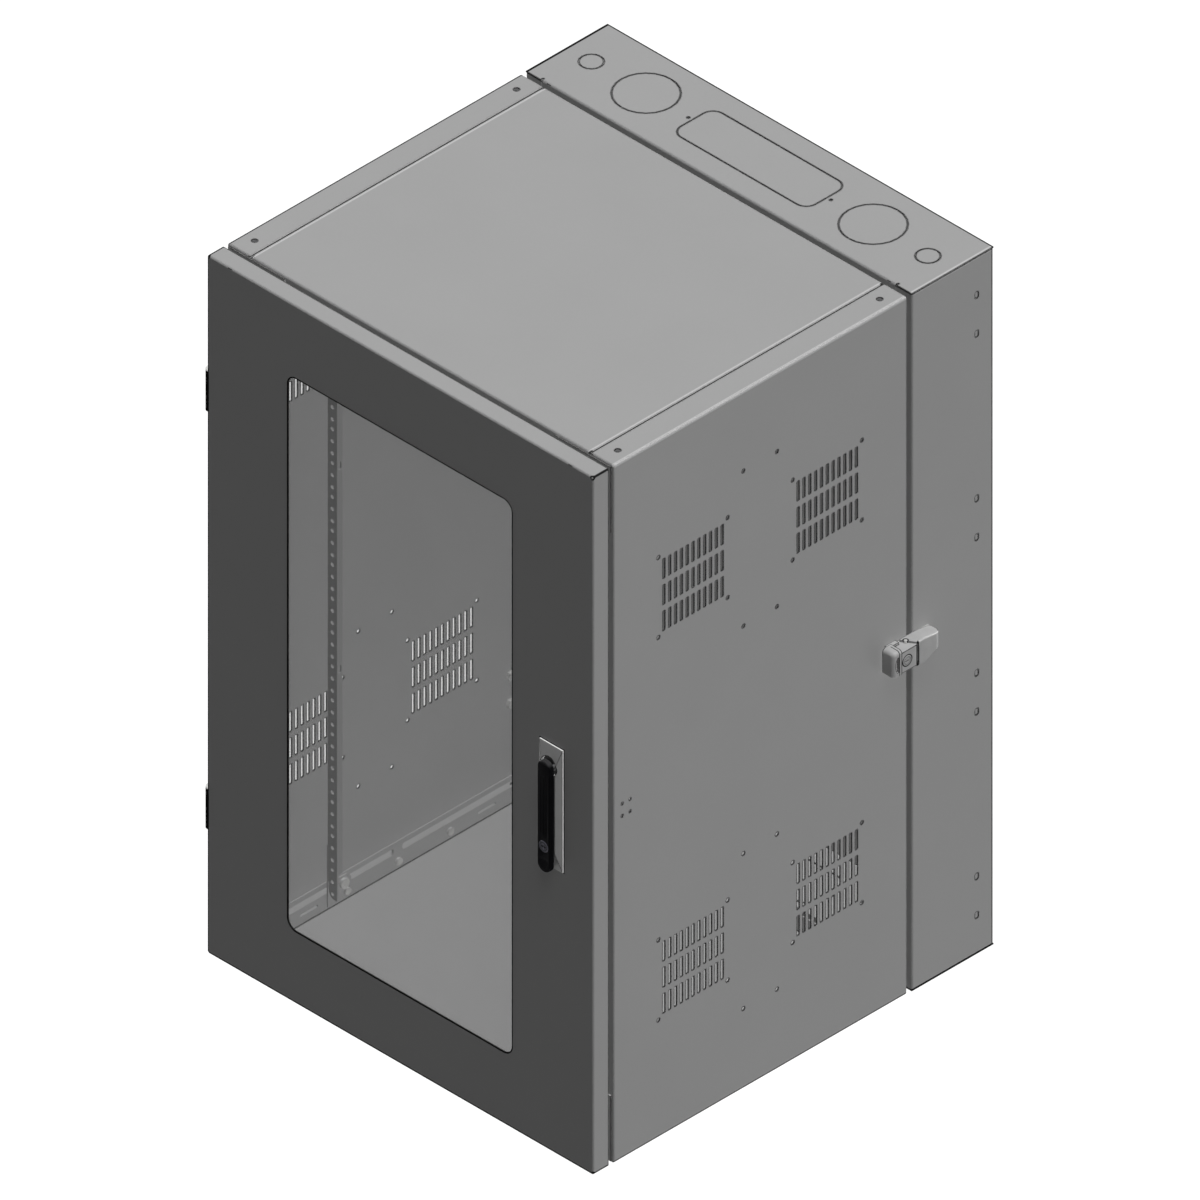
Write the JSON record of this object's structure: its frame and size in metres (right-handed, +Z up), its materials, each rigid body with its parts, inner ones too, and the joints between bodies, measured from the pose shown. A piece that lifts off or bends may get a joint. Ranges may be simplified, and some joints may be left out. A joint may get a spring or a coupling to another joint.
{
  "type": "wall mount network cabinet",
  "caption": "Grey sheet-steel wall cabinet for rack equipment: wall pan, hinged swing-out body and a hinged door with a window, swing handle and side latch.",
  "frame": {"origin": "centre of the rectangle of four wall bolt holes, on the wall side face of the back", "axes": "+X to the right seen from the front, +Y into the wall, +Z up; the cabinet stands at negative Y"},
  "size_m": [0.6155, 0.6196, 0.9144],
  "materials": {
    "cabinet_paint": "satin powder coat",
    "zinc_steel": "zinc plated",
    "latch_metal": "satin",
    "black_plastic": "satin",
    "window_glass": "clear, lightly tinted",
    "foam_tape": "matte"
  },
  "bodies": {
    "wall_pan": {"pan_back_and_sides": "cabinet_paint", "pan_top": "cabinet_paint", "pan_bottom": "cabinet_paint", "pan_hinge_leaves": "cabinet_paint", "pan_hinge_pins": "zinc_steel", "pan_hinge_bolts": "zinc_steel", "latch_keeper": "zinc_steel"},
    "swing_body": {"side_panel_right": "cabinet_paint", "side_panel_left": "cabinet_paint", "top_panel": "cabinet_paint", "bottom_panel": "cabinet_paint", "strip_nuts": "zinc_steel", "seam_bolts": "zinc_steel", "corner_gussets": "cabinet_paint", "rack_rail_right": "cabinet_paint", "rack_rail_left": "cabinet_paint", "rail_feet": "cabinet_paint", "rail_foot_bolts": "zinc_steel", "body_hinge_leaves": "cabinet_paint", "body_hinge_bolts": "zinc_steel", "door_hinge_posts": "cabinet_paint", "door_hinge_pins": "zinc_steel", "side_latch_base": "latch_metal", "side_latch_pin": "zinc_steel"},
    "door": {"door_panel": "cabinet_paint", "window_pane": "window_glass", "window_tape": "foam_tape", "window_clips": "zinc_steel", "window_clip_nuts": "zinc_steel", "door_hinge_lugs": "cabinet_paint", "handle_bezel": "latch_metal", "handle_nuts": "zinc_steel"},
    "handle_turn_shaft": {"handle_spindle": "zinc_steel", "handle_pivot_pin": "zinc_steel", "handle_cam": "zinc_steel", "handle_cam_nut": "zinc_steel"},
    "handle_swing_lever": {"handle_lever": "black_plastic"},
    "handle_key": {"handle_key_plug": "zinc_steel"},
    "latch_swing_lever": {"side_latch_lever": "latch_metal"},
    "latch_key": {"side_latch_key_plug": "zinc_steel"}
  },
  "joints": [
    {"name": "body_swing", "type": "hinge", "parent": "wall_pan", "child": "swing_body", "pos_m": [-0.2976, -0.12735, 0], "axis": [0, 0, -1], "range_deg": [0, 90]},
    {"name": "door_swing", "type": "hinge", "parent": "swing_body", "child": "door", "pos_m": [-0.2971, -0.5964, 0], "axis": [0, 0, -1], "range_deg": [0, 120]},
    {"name": "handle_turn", "type": "hinge", "parent": "door", "child": "handle_turn_shaft", "pos_m": [0.2303, -0.6064, 0.05085], "axis": [0, 1, 0], "range_deg": [0, 90]},
    {"name": "handle_lift", "type": "hinge", "parent": "handle_turn_shaft", "child": "handle_swing_lever", "pos_m": [0.2303, -0.6096, 0.05085], "axis": [-1, 0, 0], "range_deg": [0, 25]},
    {"name": "handle_key_turn", "type": "hinge", "parent": "handle_swing_lever", "child": "handle_key", "pos_m": [0.2303, -0.6178, -0.0505], "axis": [0, 1, 0], "range_deg": [0, 90]},
    {"name": "latch_lever_swing", "type": "hinge", "parent": "swing_body", "child": "latch_swing_lever", "pos_m": [0.3001, -0.1411, 0], "axis": [0, 0, -1], "range_deg": [0, 60]},
    {"name": "latch_key_turn", "type": "hinge", "parent": "swing_body", "child": "latch_key", "pos_m": [0.3085, -0.1505, 0], "axis": [1, 0, 0], "range_deg": [0, 90]}
  ]
}
